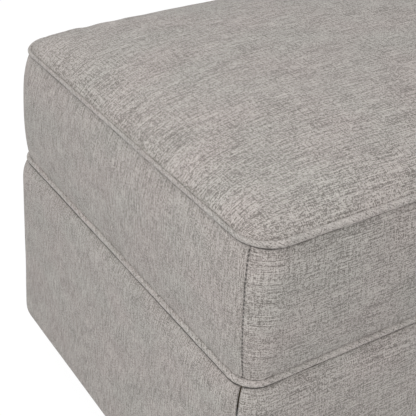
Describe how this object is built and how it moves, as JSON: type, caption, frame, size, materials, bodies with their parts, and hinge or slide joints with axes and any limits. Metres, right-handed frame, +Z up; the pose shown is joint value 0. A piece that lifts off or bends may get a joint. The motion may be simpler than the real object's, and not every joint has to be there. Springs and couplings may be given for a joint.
{
  "type": "glider ottoman",
  "caption": "Upholstered box footstool with a crowned, piped cushion top that glides back and forth on four hanging links over a low steel base.",
  "frame": {"origin": "on the floor, under the middle of the ottoman", "axes": "+Z up, X along the long side, the front faces -Y; the box glides along Y"},
  "size_m": [0.648, 0.495, 0.4435],
  "materials": {
    "cover_fabric": "matte",
    "welt_fabric": "matte",
    "wadding": "matte",
    "foam": "matte",
    "webbing": "matte",
    "dust_cloth": "matte",
    "plywood": "matte",
    "hardwood": "matte",
    "painted_steel": "satin",
    "bearing_steel": "satin",
    "zinc_steel": "satin",
    "rubber": "matte",
    "plastic": "matte"
  },
  "bodies": {
    "base": {"base_rail_left": "painted_steel", "base_rail_right": "painted_steel", "cross_rail_front": "painted_steel", "cross_rail_rear": "painted_steel", "rail_end_caps": "plastic", "rail_bolts": "zinc_steel", "rail_nuts": "zinc_steel", "floor_glides": "plastic", "pivot_plate_left": "painted_steel", "pivot_plate_right": "painted_steel", "stop_bumpers": "rubber", "upper_pivot_bolts": "zinc_steel", "upper_pivot_spacers": "zinc_steel", "upper_pivot_nuts": "zinc_steel"},
    "link_front_left": {"swing_link_front_left": "painted_steel", "link_bearings_front_left": "bearing_steel"},
    "link_front_right": {"swing_link_front_right": "painted_steel", "link_bearings_front_right": "bearing_steel"},
    "link_rear_left": {"swing_link_rear_left": "painted_steel", "link_bearings_rear_left": "bearing_steel"},
    "link_rear_right": {"swing_link_rear_right": "painted_steel", "link_bearings_rear_right": "bearing_steel"},
    "box": {"cover_top": "cover_fabric", "cushion_band_front": "cover_fabric", "cushion_band_right": "cover_fabric", "cushion_band_rear": "cover_fabric", "cushion_band_left": "cover_fabric", "skirt_front": "cover_fabric", "skirt_right": "cover_fabric", "skirt_rear": "cover_fabric", "skirt_left": "cover_fabric", "top_welt": "welt_fabric", "mid_welt": "welt_fabric", "fibre_wrap": "wadding", "skirt_padding": "wadding", "foam_core": "foam", "webbing_lengthwise": "webbing", "webbing_crosswise": "webbing", "dust_cover": "dust_cloth", "frame_panel_front": "plywood", "frame_panel_right": "plywood", "frame_panel_rear": "plywood", "frame_panel_left": "plywood", "frame_post_front_left": "hardwood", "frame_post_front_right": "hardwood", "frame_post_rear_left": "hardwood", "frame_post_rear_right": "hardwood", "frame_cleat_left": "hardwood", "frame_cleat_right": "hardwood", "hanger_plate_left": "painted_steel", "hanger_plate_right": "painted_steel", "hanger_screws": "zinc_steel", "lower_pivot_bolts": "zinc_steel", "lower_pivot_nuts": "zinc_steel", "lower_pivot_spacers": "zinc_steel"}
  },
  "joints": [
    {"name": "swing_front_left", "type": "hinge", "parent": "base", "child": "link_front_left", "pos_m": [-0.2447, -0.095, 0.175], "axis": [1, 0, 0], "range_deg": [-28, 28]},
    {"name": "swing_front_right", "type": "hinge", "parent": "base", "child": "link_front_right", "pos_m": [0.2447, -0.095, 0.175], "axis": [1, 0, 0], "range_deg": [-28, 28]},
    {"name": "swing_rear_left", "type": "hinge", "parent": "base", "child": "link_rear_left", "pos_m": [-0.2447, 0.095, 0.175], "axis": [1, 0, 0], "range_deg": [-28, 28]},
    {"name": "swing_rear_right", "type": "hinge", "parent": "base", "child": "link_rear_right", "pos_m": [0.2447, 0.095, 0.175], "axis": [1, 0, 0], "range_deg": [-28, 28]},
    {"name": "box_level", "type": "hinge", "parent": "link_front_left", "child": "box", "pos_m": [-0.2447, -0.095, 0.065], "axis": [1, 0, 0], "range_deg": [-28, 28]}
  ],
  "couplings": [
    {"joint": "swing_front_right", "follows": "swing_front_left", "ratio": 1},
    {"joint": "swing_rear_left", "follows": "swing_front_left", "ratio": 1},
    {"joint": "swing_rear_right", "follows": "swing_front_left", "ratio": 1},
    {"joint": "box_level", "follows": "swing_front_left", "ratio": -1}
  ]
}
